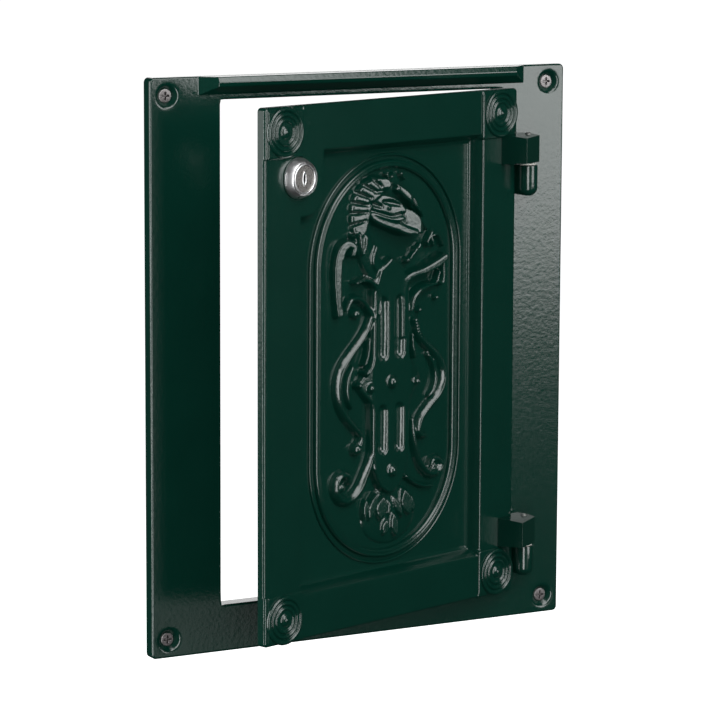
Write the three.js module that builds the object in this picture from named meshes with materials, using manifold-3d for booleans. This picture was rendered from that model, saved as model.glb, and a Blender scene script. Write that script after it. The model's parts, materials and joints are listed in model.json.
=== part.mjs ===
// Front of a wall mounted letter box: a cast aluminium frame that is screwed over an opening in a wall, and a
// cast door with a cam lock that turns on two pins at its right side.
// Millimetres, +Z up, +Y into the wall. The origin is the middle of the frame, on the face of the wall.
// The door stands ajar, by doorAjar degrees, and its lock is open with the cam hanging down.

import * as THREE from "three";
import { mergeVertices } from "three/addons/utils/BufferGeometryUtils.js";
import { ConvexGeometry } from "three/addons/geometries/ConvexGeometry.js";
import Module from "manifold-3d";

const wasm = await Module();
wasm.setup();

// ---- driving dimensions ----

const gap = 0.1; // between pieces that are clamped together
const doorAjar = 17.6; // degrees

const plate = { width: 283, height: 345, thickness: 8, corner: 3, rim: 6, skin: 4 };
const opening = { side: 46, bottom: 28.5, top: 14, corner: 2.5 }; // margins left round it
const neck = { wall: 4, depth: 3 }; // collar round the opening, into the wall
const hood = { left: 31, right: 29, reach: 9, face: 5.5, drop: 11, taper: 10 };
const screwInset = { x: 11.2, z: 10.8 };
const wallScrew = { head: 4, shank: 2.1, tip: 16.5, sink: 5.4 };
const countersink = { radius: 7, hole: 2.75 };

const hinge = { x: 109.2, forward: 11, standOff: 1.2, pin: 2, bore: 2.08, barrel: 6.15, barrelHeight: 19 };
const knuckleFoot = { low: 29.7, high: 267.2 }; // above the door's bottom edge
const knuckle = { height: 18, base: 19.3, crest: 16, proud: 16.5, heel: 10.2, draft: 1.3 };

const door = { width: 218, height: 313, bottom: 18.8, overhang: 5.8, thickness: 7, standOff: 0.65 };
const rail = { drop: 1.2, recessSide: 29.4, recessEnd: 26, slope: 5.3, back: 4.2, rim: 3 };
const cornerBlock = { width: 31, height: 29, bevel: 1 };
const panel = { depth: 9, back: 12.5, wall: 3 };
const lockPad = { right: 48, bottom: 251 }; // flat the lock sits on, from the door's upper left corner
const bead = { half: 59.5, end: 121, width: 4.6, rise: 3 }; // racetrack moulding on the panel
const bossSides = 24;

const lock = { x: 27.4, z: 271.4, bezel: 12, face: 9.6, head: 5.9, barrel: 8, flats: 6.5, length: 17.6 };
const plug = { head: 8.7, radius: 5.45, bore: 5.6, square: 3.2 };
const cam = { hub: 6, reach: 16, half: 5, thickness: 2 };
const wafer = { count: 5, first: -0.5, pitch: 2.3, thickness: 0.7, half: 1.8, tall: 5 };
const spring = { radius: 0.48, wire: 0.12, low: -3.05, high: 0.05, turns: 5 };

// ---- materials ----

const finish = (color, metalness, roughness) =>
  new THREE.MeshStandardMaterial({ color, metalness, roughness });
const greenPowderCoat = finish(0x0f3a30, 0.0, 0.3);
const chromePlate = finish(0xe6e8ea, 1.0, 0.12);
const satinNickel = finish(0x9a9fa2, 1.0, 0.35);
const zincSteel = finish(0x9b988f, 1.0, 0.4);
const brass = finish(0xb5923f, 1.0, 0.3);
const springSteel = finish(0x7d7f82, 1.0, 0.3);
const whiteNylon = finish(0xd8d8d0, 0.0, 0.5);

// ---- solids ----

// A closed three.js geometry as a manifold-3d solid.
function solid(geometry) {
  const bare = geometry.clone();
  bare.deleteAttribute("normal");
  bare.deleteAttribute("uv");
  const merged = mergeVertices(bare, 1e-4);
  const corners = [];
  for (let i = 0; i < merged.index.count; i += 3) {
    const [a, b, c] = merged.index.array.slice(i, i + 3);
    if (a !== b && b !== c && c !== a) corners.push(a, b, c);
  }
  const vertProperties = merged.attributes.position.array;
  const triVerts = new Uint32Array(corners);
  return new wasm.Manifold(new wasm.Mesh({ numProp: 3, vertProperties, triVerts }));
}

const join = (first, ...others) => others.reduce((sum, other) => sum.add(other), first);
const cut = (first, ...others) => others.reduce((rest, other) => rest.subtract(other), first);

function box(x, y, z) {
  const geometry = new THREE.BoxGeometry(x[1] - x[0], y[1] - y[0], z[1] - z[0]);
  return solid(geometry.translate((x[0] + x[1]) / 2, (y[0] + y[1]) / 2, (z[0] + z[1]) / 2));
}

// The block between two rectangles that stand at y0 and y1: each is [left, right, low, high].
function frustum(y0, first, y1, second) {
  const corners = [];
  for (const [y, [left, right, low, high]] of [[y0, first], [y1, second]])
    for (const x of [left, right]) for (const z of [low, high]) corners.push(new THREE.Vector3(x, y, z));
  return solid(new ConvexGeometry(corners));
}

// A rectangle with round corners.
function roundRectangle(path, left, right, low, high, radius) {
  path.moveTo(left + radius, low);
  path.lineTo(right - radius, low);
  path.absarc(right - radius, low + radius, radius, -Math.PI / 2, 0, false);
  path.lineTo(right, high - radius);
  path.absarc(right - radius, high - radius, radius, 0, Math.PI / 2, false);
  path.lineTo(left + radius, high);
  path.absarc(left + radius, high - radius, radius, Math.PI / 2, Math.PI, false);
  path.lineTo(left, low + radius);
  path.absarc(left + radius, low + radius, radius, Math.PI, 1.5 * Math.PI, false);
  return path;
}

// An upright shape, drawn in X and Z, from y0 back to y1.
function slab(shape, y0, y1, curveSegments = 6) {
  const geometry = new THREE.ExtrudeGeometry(shape, { depth: y1 - y0, bevelEnabled: false, curveSegments });
  return solid(geometry.rotateX(Math.PI / 2).translate(0, y1, 0));
}

// A profile of [radius, height] pairs, turned about Z; it runs from the bottom to the top.
function turned(profile, sides = bossSides) {
  const points = profile.map(([radius, height]) => new THREE.Vector2(radius, height));
  return solid(new THREE.LatheGeometry(points, sides).rotateX(Math.PI / 2));
}

// A plain upright rod.
const rod = (radius, low, high) => turned([[0, low], [radius, low], [radius, high], [0, high]]);

// The same as turned(), about the line of the lock, where height is the distance behind the lock pad's face.
function turnedInward(profile, sides = bossSides) {
  const points = profile.map(([radius, height]) => new THREE.Vector2(radius, height));
  return solid(new THREE.LatheGeometry(points, sides));
}

function mesh(name, shape, material) {
  const { numProp, vertProperties, triVerts } = shape.getMesh();
  const geometry = new THREE.BufferGeometry();
  geometry.setAttribute("position", new THREE.BufferAttribute(vertProperties, numProp));
  geometry.setIndex(new THREE.BufferAttribute(triVerts, 1));
  geometry.computeVertexNormals();
  const made = new THREE.Mesh(geometry, material);
  made.name = name;
  return made;
}

// ---- the frame ----

const edge = {
  left: -plate.width / 2,
  right: plate.width / 2,
  low: -plate.height / 2,
  high: plate.height / 2,
};
const mouth = {
  left: edge.left + opening.side,
  right: edge.right - opening.side,
  low: edge.low + opening.bottom,
  high: edge.high - opening.top,
};
const face = -plate.thickness;
const pinLine = { x: hinge.x, y: face - hinge.forward };
const screwPlaces = [
  ["upper_left", edge.left + screwInset.x, edge.high - screwInset.z],
  ["upper_right", edge.right - screwInset.x, edge.high - screwInset.z],
  ["lower_left", edge.left + screwInset.x, edge.low + screwInset.z],
  ["lower_right", edge.right - screwInset.x, edge.low + screwInset.z],
];
// Height at which each knuckle of the door ends below.
const knuckleFeet = [
  ["upper", edge.low + door.bottom + knuckleFoot.high],
  ["lower", edge.low + door.bottom + knuckleFoot.low],
];

function ring(outer, inner, outerCorner, innerCorner) {
  const sides = ({ left, right, low, high }) => [left, right, low, high];
  const shape = roundRectangle(new THREE.Shape(), ...sides(outer), outerCorner);
  shape.holes.push(roundRectangle(new THREE.Path(), ...sides(inner), innerCorner));
  return shape;
}

// Drip hood: a wedge along the top, flush with the top edge, with sloping ends and a sloping underside.
function dripHood() {
  const left = edge.left + hood.left;
  const right = edge.right - hood.right;
  const root = [left, right, edge.high - hood.drop, edge.high];
  const nose = [left + hood.taper, right - hood.taper, edge.high - hood.face, edge.high];
  const back = box([left, right], [face, face + 2], [root[2], root[3]]);
  return join(frustum(face - hood.reach, nose, face, root), back);
}

// Bearing for a hinge pin: a barrel on a web, both with a round foot. The web is trimmed on the door's side,
// where the edge of the closed door comes past it.
function gudgeon(top) {
  const radius = hinge.barrel;
  const foot = top - hinge.barrelHeight;
  const dome = [];
  for (let i = 0; i <= 6; i++) {
    const turn = (i / 6) * (Math.PI / 2);
    dome.push([radius * Math.sin(turn), foot + radius * (1 - Math.cos(turn))]);
  }
  const barrel = turned([...dome, [radius, top], [0, top]]).translate([pinLine.x, pinLine.y, 0]);
  const web = new THREE.Shape();
  web.moveTo(pinLine.x - radius, top);
  web.lineTo(pinLine.x - radius, foot + radius);
  web.absarc(pinLine.x, foot + radius, radius, Math.PI, 2 * Math.PI, false);
  web.lineTo(pinLine.x + radius, top);
  const trimmed = [pinLine.x - radius - 1, pinLine.x - door.overhang + 0.5];
  const trim = box(trimmed, [pinLine.y, face], [foot - 1, top + 1]);
  return join(barrel, cut(slab(web, pinLine.y, face + 1, 12), trim));
}

// Shallow pockets in the back of the plate, down both sides and along the bottom, with ribs between them.
function backPockets() {
  const pockets = [];
  const rib = 3;
  const depth = [-plate.skin, 1];
  const inner = mouth.right + neck.wall + 1.5;
  const outer = edge.right - plate.rim;
  const rows = 4;
  const start = edge.low + 2 * screwInset.z + 2;
  const pitch = (edge.high - 2 * screwInset.z - 2 - start + rib) / rows;
  for (let i = 0; i < rows; i++) {
    const height = [start + i * pitch, start + (i + 1) * pitch - rib];
    pockets.push(box([inner, outer], depth, height), box([-outer, -inner], depth, height));
  }
  const columns = 3;
  const reach = edge.right - 2 * screwInset.x - 2;
  const width = (2 * reach + rib) / columns;
  for (let i = 0; i < columns; i++) {
    const left = -reach + i * width;
    pockets.push(box([left, left + width - rib], depth, [edge.low + plate.rim, mouth.low - neck.wall - 1.5]));
  }
  return pockets;
}

function screwHole(x, z) {
  const { radius, hole } = countersink;
  const profile = [[0, face - 1], [radius + 1, face - 1], [hole, face + radius - hole], [hole, 1], [0, 1]];
  return turnedInward(profile).translate([x, 0, z]);
}

function frameCasting() {
  const outer = {
    left: mouth.left - neck.wall,
    right: mouth.right + neck.wall,
    low: mouth.low - neck.wall,
    high: mouth.high + neck.wall,
  };
  const body = slab(ring(edge, mouth, plate.corner, opening.corner), face, 0);
  const collar = slab(ring(outer, mouth, opening.corner + neck.wall, opening.corner), face / 2, neck.depth);
  const bearings = knuckleFeet.map(([, foot]) => gudgeon(foot - hinge.standOff));
  const bores = knuckleFeet.map(([, foot]) =>
    rod(hinge.bore, foot - 16, foot).translate([pinLine.x, pinLine.y, 0]),
  );
  const holes = screwPlaces.map(([, x, z]) => screwHole(x, z));
  const pocketed = cut(body, ...backPockets());
  return cut(join(pocketed, collar, dripHood(), ...bearings), ...bores, ...holes);
}

// Countersunk wood screw with a cross recess.
function wallScrewSolid() {
  const top = -wallScrew.sink;
  const { head, shank, tip } = wallScrew;
  const neckEnd = top + 0.3 + head - shank;
  const profile = [[0, top], [head, top], [head, top + 0.3], [shank, neckEnd], [shank, tip - 5], [0, tip]];
  const arm = 2.1;
  const half = 0.45;
  const depth = [top - 1, top + 1.6];
  const cross = join(box([-arm, arm], depth, [-half, half]), box([-half, half], depth, [-arm, arm]));
  return cut(turnedInward(profile, 20), cross);
}

// ---- the door, about its hinge line ----
// s runs from the door's left edge, v from its bottom edge, and m is how far a point stands in front of the
// corner blocks. The hinge line is at x = 0, y = 0.

const blockPlane = hinge.forward - door.standOff - door.thickness;
const across = (s) => s - door.width - door.overhang;
const deep = (m) => blockPlane - m;
const up = (v) => edge.low + door.bottom + v;
const area = (left, right, low, high) => [across(left), across(right), up(low), up(high)];
const centre = door.width / 2;
const middle = door.height / 2;

// The rectangle inside the rails, made smaller by inset on each side.
const recess = (inset) =>
  area(
    rail.recessSide + inset,
    door.width - rail.recessSide - inset,
    rail.recessEnd + inset,
    door.height - rail.recessEnd - inset,
  );

function rails() {
  const [left, right, low, high] = area(0, door.width, 0, door.height);
  const outline = roundRectangle(new THREE.Shape(), left, right, low, high, 2);
  const sheet = slab(outline, deep(-rail.drop), deep(-door.thickness));
  const hollow = area(rail.rim, door.width - rail.rim, rail.rim, door.height - rail.rim);
  const channel = frustum(deep(-rail.back), hollow, deep(-door.thickness - 1), hollow);
  const thick = [deep(-rail.back), deep(-door.thickness)];
  const roots = knuckleFeet.map(([, foot]) =>
    box([across(door.width - 26), 0], thick, [foot - 4, foot + knuckle.height + 4]),
  );
  return cut(sheet, cut(channel, ...roots));
}

function cornerBlocks() {
  const { width, height, bevel } = cornerBlock;
  return [0, door.width - width].flatMap((left) =>
    [0, door.height - height].map((low) => {
      const flat = [left, left + width, low, low + height];
      const grow = [left ? -bevel : 0, left ? 0 : bevel, low ? -bevel : 0, low ? 0 : bevel];
      const foot = flat.map((value, i) => value + grow[i]);
      return frustum(deep(0), area(...flat), deep(-rail.drop - 1), area(...foot));
    }),
  );
}

// The panel is a shallow tray behind the rails, with a flat for the lock in its upper left corner.
function tray() {
  const floor = recess(rail.slope - panel.wall);
  const well = frustum(deep(-rail.back + 0.5), recess(-1.2), deep(-panel.back), floor);
  const clear = box(
    [across(0), across(lockPad.right - panel.wall)],
    [deep(-rail.back), deep(-panel.back - 1)],
    [up(lockPad.bottom + panel.wall), up(door.height)],
  );
  return cut(well, clear);
}

function trayHollow() {
  const hollow = frustum(deep(-rail.drop + 1), recess(-1), deep(-panel.depth), recess(rail.slope));
  const pad = box(
    [across(0), across(lockPad.right)],
    [deep(1), deep(-panel.depth - 1)],
    [up(lockPad.bottom), up(door.height)],
  );
  return cut(hollow, pad);
}

function racetrack(path, half, end) {
  path.absarc(across(centre), up(middle + end - half), half, 0, Math.PI, false);
  path.absarc(across(centre), up(middle - end + half), half, Math.PI, 2 * Math.PI, false);
  return path;
}

// The moulding and the main masses of the relief inside it: a column, a head over it and a leaf under it.
function relief() {
  const floor = deep(-panel.depth - 0.5);
  const top = deep(bead.rise - panel.depth);
  const track = racetrack(new THREE.Shape(), bead.half + bead.width / 2, bead.end + bead.width / 2);
  track.holes.push(racetrack(new THREE.Path(), bead.half - bead.width / 2, bead.end - bead.width / 2));
  const mass = (s, v, halfWidth, halfHeight, rise) => {
    const ball = new THREE.SphereGeometry(1, 16, 10).scale(halfWidth, rise, halfHeight);
    return solid(ball.translate(across(s), deep(-panel.depth), up(v)));
  };
  const shaft = area(centre - 11, centre + 11, 88, 206);
  const column = frustum(deep(-4), shaft, floor, area(centre - 14, centre + 14, 85, 209));
  const masses = join(mass(centre, 246, 33, 20, 6), mass(centre, 66, 22, 16, 3), column);
  const behind = box([across(0), across(door.width)], [floor, floor + 20], [up(0), up(door.height)]);
  return join(slab(track, top, floor, 14), cut(masses, behind));
}

// Knuckle: a block cast on the rail's face, with draft towards its crest, that reaches over the hinge pin.
function doorKnuckle(foot) {
  const { height, base, crest, proud, heel, draft } = knuckle;
  const front = [[base, -rail.drop - 1], [base, 0], [crest, proud], [-3, heel]];
  const outline = [...front, [-2.6, -4.4], [2, -4.8], [6, -5]];
  for (let i = 0; i <= 6; i++) {
    const turn = -Math.PI / 3 + (i / 6) * ((2 * Math.PI) / 3);
    outline.push([-4.3 * Math.cos(turn), blockPlane + 4.3 * Math.sin(turn)]);
  }
  const corners = outline.flatMap(([s, m]) => {
    const inset = (draft * Math.max(m, 0)) / proud;
    return [foot + inset, foot + height - inset].map((z) => new THREE.Vector3(-s, deep(m), z));
  });
  return solid(new ConvexGeometry(corners));
}

function lockHole() {
  const { x, z, barrel, flats } = lock;
  const round = turnedInward([[0, -3], [barrel + 0.2, -3], [barrel + 0.2, 6], [0, 6]]);
  const hole = round.intersect(box([-flats - 0.2, flats + 0.2], [-9, 9], [-20, 20]));
  return hole.translate([across(x), deep(-rail.drop), up(z)]);
}

function doorCasting() {
  const knuckles = knuckleFeet.map(([, foot]) => doorKnuckle(foot));
  const bores = knuckleFeet.map(([, foot]) => rod(hinge.bore, foot - 1, foot + knuckle.height + 1));
  const shell = cut(join(rails(), tray(), ...cornerBlocks()), trayHollow());
  return cut(join(shell, relief(), ...knuckles), ...bores, lockHole());
}

// Hinge pin: pushed down through the knuckle into the blind bore of the bearing, with a domed head end.
function hingePin(foot) {
  const top = foot + knuckle.height + 0.6;
  const low = foot - 15;
  const { pin } = hinge;
  return turned([[0, low], [pin - 0.4, low], [pin, low + 0.6], [pin, top - 0.8], [1.2, top], [0, top]]);
}

function flatRing(inner, outer, low, high, sides = bossSides) {
  return [[inner, low], [outer, low], [outer, high], [inner, high], [inner, low]];
}

// ---- the lock, about its own line ----
// Heights here are distances behind the face of the lock pad.

function lockHousing() {
  const { bezel, face: front, head, barrel, flats, length } = lock;
  const outside = turnedInward([
    [0, -head], [front, -head], [front + 0.6, -head + 0.5], [bezel, -1.1], [bezel, -gap],
    [barrel, -gap], [barrel, length - 0.8], [barrel - 0.8, length], [0, length],
  ], 40);
  const sides = join(
    box([-flats, flats], [-gap, length + 1], [-bezel - 1, bezel + 1]),
    box([-bezel - 1, bezel + 1], [-head - 1, -gap], [-bezel - 1, bezel + 1]),
  );
  const seat = plug.head + 0.15;
  const bore = turnedInward([
    [0, -head - 1], [seat, -head - 1], [seat, -head + 2.6],
    [plug.bore, -head + 2.6], [plug.bore, length + 1], [0, length + 1],
  ], 40);
  const grooves = box([-2.2, 2.2], [-1.2, length - 3], [-6.9, 6.9]);
  return cut(outside.intersect(sides), bore, grooves);
}

const nutSeat = rail.back - rail.drop + gap;

function lockWasher() {
  return turnedInward(flatRing(lock.barrel + 0.15, lock.barrel + 2.6, nutSeat, nutSeat + 0.6), 32);
}

function lockNut() {
  const start = nutSeat + 0.6 + gap;
  const flats = 9;
  const corner = flats / Math.cos(Math.PI / 6);
  const hexagon = turnedInward([[0, start], [corner, start], [corner, start + 2.3], [0, start + 2.3]], 6);
  const radius = lock.barrel + 0.1;
  const bore = [[0, start - 1], [radius, start - 1], [radius, start + 4], [0, start + 4]];
  return cut(hexagon, turnedInward(bore, 32));
}

const waferPlace = (i) => wafer.first + i * wafer.pitch;
const shaftEnd = lock.length + gap;
const camStart = lock.length + 0.3;
const camEnd = camStart + cam.thickness;

function lockPlug() {
  const front = -lock.head + 0.3;
  const { head, radius, square } = plug;
  const body = turnedInward([
    [0, front + 0.5], [head - 0.9, front + 0.5], [head - 0.9, front], [head, front], [head, front + 2],
    [radius, front + 2], [radius, shaftEnd], [0, shaftEnd],
  ], 40);
  const drive = box([-square, square], [shaftEnd - 1, camEnd - 0.3], [-square, square]);
  const keyway = box([-0.8, 0.8], [front - 1, 10.5], [-3.4, 3.4]);
  const screwBore = turnedInward([[0, 12], [2, 12], [2, camEnd], [0, camEnd]], 20);
  const slots = Array.from({ length: wafer.count }, (_, i) => {
    const place = waferPlace(i);
    return join(
      box([-wafer.half - 0.15, wafer.half + 0.15], [place - 0.5, place + 0.5], [-6, 6]),
      box([0, 3.9], [place - 0.5, place + 0.5], [-3.2, 3.2]),
      box([2.1, 3.9], [place - 0.8, place + 0.8], [-3.2, 0.4]),
    );
  });
  return cut(join(body, drive), keyway, screwBore, ...slots);
}

// Wafer tumbler: a brass plate with a window for the key, and an arm that its spring pushes up.
function waferPlate(i) {
  const place = waferPlace(i);
  const depth = [place - wafer.thickness / 2, place + wafer.thickness / 2];
  const lift = ((i * 2) % 5) * 0.3 - 0.6; // each wafer's window is at its own height
  const blade = box([-wafer.half, wafer.half], depth, [-wafer.tall, wafer.tall]);
  const sheet = join(blade, box([0, 3.7], depth, [0.3, 1.5]));
  return cut(sheet, box([-1.1, 1.1], [place - 1, place + 1], [lift - 2.4, lift + 2.4]));
}

class Helix extends THREE.Curve {
  getPoint(t, target = new THREE.Vector3()) {
    const turn = 2 * Math.PI * spring.turns * t;
    const height = spring.low + (spring.high - spring.low) * t;
    return target.set(spring.radius * Math.cos(turn), spring.radius * Math.sin(turn), height);
  }
}

function waferSpring(i) {
  const section = new THREE.Shape();
  section.absarc(0, 0, spring.wire, 0, 2 * Math.PI, false);
  const coil = new THREE.ExtrudeGeometry(section, {
    steps: 9 * spring.turns,
    curveSegments: 3,
    bevelEnabled: false,
    extrudePath: new Helix(),
  });
  return solid(coil.translate(3, waferPlace(i), 0));
}

function lockCam() {
  const shape = new THREE.Shape();
  shape.absarc(0, 0, cam.hub, 0, Math.PI, false);
  shape.lineTo(-cam.half, -cam.reach + 3);
  shape.absarc(-cam.half + 3, -cam.reach + 3, 3, Math.PI, 1.5 * Math.PI, false);
  shape.absarc(cam.half - 3, -cam.reach + 3, 3, 1.5 * Math.PI, 2 * Math.PI, false);
  const hole = plug.square + 0.1;
  return cut(slab(shape, camStart, camEnd), box([-hole, hole], [camStart - 1, camEnd + 1], [-hole, hole]));
}

const washerStart = camEnd + gap;

function camWasher() {
  return turnedInward(flatRing(2.2, 5, washerStart, washerStart + 0.7), 24);
}

function camScrew() {
  const seat = washerStart + 0.7 + gap;
  const top = seat + 2.4;
  const shank = [[0, 12.8], [1.5, 12.8], [1.9, 13.2], [1.9, seat]];
  const profile = [...shank, [3.9, seat], [3.9, top - 0.8], [3, top], [0, top]];
  const depth = [top - 1.3, top + 1];
  const cross = join(box([-1.7, 1.7], depth, [-0.4, 0.4]), box([-0.4, 0.4], depth, [-1.7, 1.7]));
  return cut(turnedInward(profile, 20), cross);
}

// ---- the assembly ----

const letterBoxFront = new THREE.Group();
letterBoxFront.add(mesh("frame_casting", frameCasting(), greenPowderCoat));

const screwShape = wallScrewSolid();
for (const [corner, x, z] of screwPlaces) {
  const screw = mesh("wall_screw_" + corner, screwShape, zincSteel);
  screw.position.set(x, 0, z);
  letterBoxFront.add(screw);
}

for (const [level, foot] of knuckleFeet) {
  const pin = mesh("hinge_pin_" + level, hingePin(foot), zincSteel);
  const low = foot - hinge.standOff + 0.2;
  const ringShape = turned(flatRing(hinge.pin + 0.2, 5.2, low, low + 0.8));
  const washer = mesh("hinge_washer_" + level, ringShape, whiteNylon);
  for (const piece of [pin, washer]) {
    piece.position.set(pinLine.x, pinLine.y, 0);
    letterBoxFront.add(piece);
  }
}

const doorGroup = new THREE.Group();
doorGroup.position.set(pinLine.x, pinLine.y, 0);
doorGroup.rotation.z = THREE.MathUtils.degToRad(doorAjar);
doorGroup.add(mesh("door_casting", doorCasting(), greenPowderCoat));
letterBoxFront.add(doorGroup);

const lockGroup = new THREE.Group();
lockGroup.position.set(across(lock.x), deep(-rail.drop), up(lock.z));
lockGroup.add(
  mesh("lock_housing", lockHousing(), chromePlate),
  mesh("lock_washer", lockWasher(), zincSteel),
  mesh("lock_nut", lockNut(), zincSteel),
  mesh("lock_plug", lockPlug(), satinNickel),
  mesh("lock_cam", lockCam(), zincSteel),
  mesh("cam_washer", camWasher(), zincSteel),
  mesh("cam_screw", camScrew(), zincSteel),
);
for (let i = 0; i < wafer.count; i++) {
  lockGroup.add(mesh("lock_wafer_" + (i + 1), waferPlate(i), brass));
  lockGroup.add(mesh("wafer_spring_" + (i + 1), waferSpring(i), springSteel));
}
doorGroup.add(lockGroup);

export default letterBoxFront;
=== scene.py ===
# A wall mounted letter box front: a cast frame that is screwed over an opening in a wall, and a cast door with a
# cam lock that turns on two pins. Metres, +Z up, +Y into the wall. The sections follow the object as it is put
# together: frame, wall screws, door, ornament, hinge, lock, and then the studio.

import json
import math

import bmesh
import bpy
import numpy as np
from mathutils import Matrix, Vector


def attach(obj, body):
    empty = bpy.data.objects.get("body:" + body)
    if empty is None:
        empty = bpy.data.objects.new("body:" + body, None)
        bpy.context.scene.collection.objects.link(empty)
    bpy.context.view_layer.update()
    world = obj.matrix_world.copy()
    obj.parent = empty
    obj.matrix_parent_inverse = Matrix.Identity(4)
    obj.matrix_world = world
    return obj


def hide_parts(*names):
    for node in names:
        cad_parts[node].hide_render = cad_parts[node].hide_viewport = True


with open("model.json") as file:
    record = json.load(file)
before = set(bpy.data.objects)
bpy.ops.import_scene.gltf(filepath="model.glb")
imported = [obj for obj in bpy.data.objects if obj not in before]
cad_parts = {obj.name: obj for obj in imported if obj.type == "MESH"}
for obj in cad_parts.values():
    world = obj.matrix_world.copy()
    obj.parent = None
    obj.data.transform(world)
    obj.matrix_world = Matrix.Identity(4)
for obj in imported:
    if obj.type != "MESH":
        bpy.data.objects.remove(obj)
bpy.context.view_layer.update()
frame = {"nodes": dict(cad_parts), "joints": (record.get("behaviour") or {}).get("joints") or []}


# ---- cast frame ----
# Aluminium casting: a plate round the mouth of the box, with a collar into the wall, a drip hood along its top and
# two bearings for the hinge. It is powder coated moss green, so its edges are round and its skin has the fine
# orange peel of cured powder. Sizes are in millimetres.

MM = 0.001


def powder_coat(name, colour, pooled):
    """Glossy powder paint. Orange peel is a noise about 1.6 mm across with a finer one on it; the colour drifts
    over some centimetres between two near shades, and gloss follows the finer noise."""
    paint = bpy.data.materials.new(name)
    paint.use_nodes = True
    nodes, links = paint.node_tree.nodes, paint.node_tree.links
    shader = nodes["Principled BSDF"]
    place = nodes.new("ShaderNodeTexCoord")
    drift, peel, grain = (nodes.new("ShaderNodeTexNoise") for _ in range(3))
    for noise, scale, detail in ((drift, 38, 3), (peel, 420, 2), (grain, 1700, 2)):
        noise.inputs["Scale"].default_value = scale
        noise.inputs["Detail"].default_value = detail
        links.new(place.outputs["Object"], noise.inputs["Vector"])
    shade = nodes.new("ShaderNodeMix")
    shade.data_type = "RGBA"
    shade.inputs["A"].default_value = (*colour, 1)
    shade.inputs["B"].default_value = (*pooled, 1)
    links.new(drift.outputs["Fac"], shade.inputs["Factor"])
    links.new(shade.outputs["Result"], shader.inputs["Base Color"])
    gloss = nodes.new("ShaderNodeMapRange")
    gloss.inputs["To Min"].default_value = 0.12
    gloss.inputs["To Max"].default_value = 0.24
    links.new(grain.outputs["Fac"], gloss.inputs["Value"])
    links.new(gloss.outputs["Result"], shader.inputs["Roughness"])
    fine = nodes.new("ShaderNodeBump")
    fine.inputs["Strength"].default_value = 0.3
    fine.inputs["Distance"].default_value = 0.00005
    links.new(grain.outputs["Fac"], fine.inputs["Height"])
    coarse = nodes.new("ShaderNodeBump")
    coarse.inputs["Strength"].default_value = 0.5
    coarse.inputs["Distance"].default_value = 0.00016
    links.new(peel.outputs["Fac"], coarse.inputs["Height"])
    links.new(fine.outputs["Normal"], coarse.inputs["Normal"])
    links.new(coarse.outputs["Normal"], shader.inputs["Normal"])
    shader.inputs["IOR"].default_value = 1.52
    return paint


moss_green = powder_coat("moss_green_powder", (0.0004, 0.0145, 0.0096), (0.0008, 0.0185, 0.0122))


def piece(name, points, faces, material, body, slot):
    """A smooth mesh from points in millimetres, an array of faces or a list of them, on its CAD body."""
    made = bpy.data.meshes.new(name)
    made.from_pydata((np.asarray(points) * MM).tolist(), [], [list(map(int, face)) for face in faces])
    made.polygons.foreach_set("use_smooth", np.ones(len(made.polygons), bool))
    made.materials.append(material)
    shown = bpy.data.objects.new(name, made)
    bpy.context.scene.collection.objects.link(shown)
    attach(shown, body)
    return shown


def grid_lines(*stretches):
    """Grid lines through stretches of (start, end, spacing), each ending where the next starts."""
    runs = [np.linspace(a, b, max(2, round((b - a) / step) + 1))[:-1] for a, b, step in stretches]
    return np.concatenate([*runs, [stretches[-1][1]]])


def inside(across, up, left, right, low, high, radius):
    """Depth inside a rectangle with round corners: the distance to its outline, which is negative outside."""
    x = np.abs(across - (left + right) / 2) - (right - left) / 2 + radius
    z = np.abs(up - (low + high) / 2) - (high - low) / 2 + radius
    return radius - np.hypot(np.maximum(x, 0), np.maximum(z, 0)) - np.minimum(np.maximum(x, z), 0)


def round_over(depth, radius):
    """Drop of a rounded edge: a quarter circle that starts at the outline and is level once depth is radius."""
    return radius - np.sqrt(radius**2 - np.clip(radius - depth, 0, radius) ** 2)


def round_corners(across, up, left, right, low, high, radius):
    """Draws the grid's corner squares in to quarter discs: a and b, each from 0 to 1 across the square, go to
    a times the root of 1 - b squared / 2, and b likewise."""
    x, z = across - (left + right) / 2, up - (low + high) / 2
    width, height = (right - left) / 2 - radius, (high - low) / 2 - radius
    a, b = (np.abs(x) - width) / radius, (np.abs(z) - height) / radius
    corner = (a > 0) & (b > 0)
    drawn_a = np.where(corner, a * np.sqrt(1 - np.where(corner, b, 0) ** 2 / 2), a)
    drawn_b = np.where(corner, b * np.sqrt(1 - np.where(corner, a, 0) ** 2 / 2), b)
    return (
        (left + right) / 2 + np.sign(x) * (width + radius * drawn_a),
        (low + high) / 2 + np.sign(z) * (height + radius * drawn_b),
    )


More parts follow.
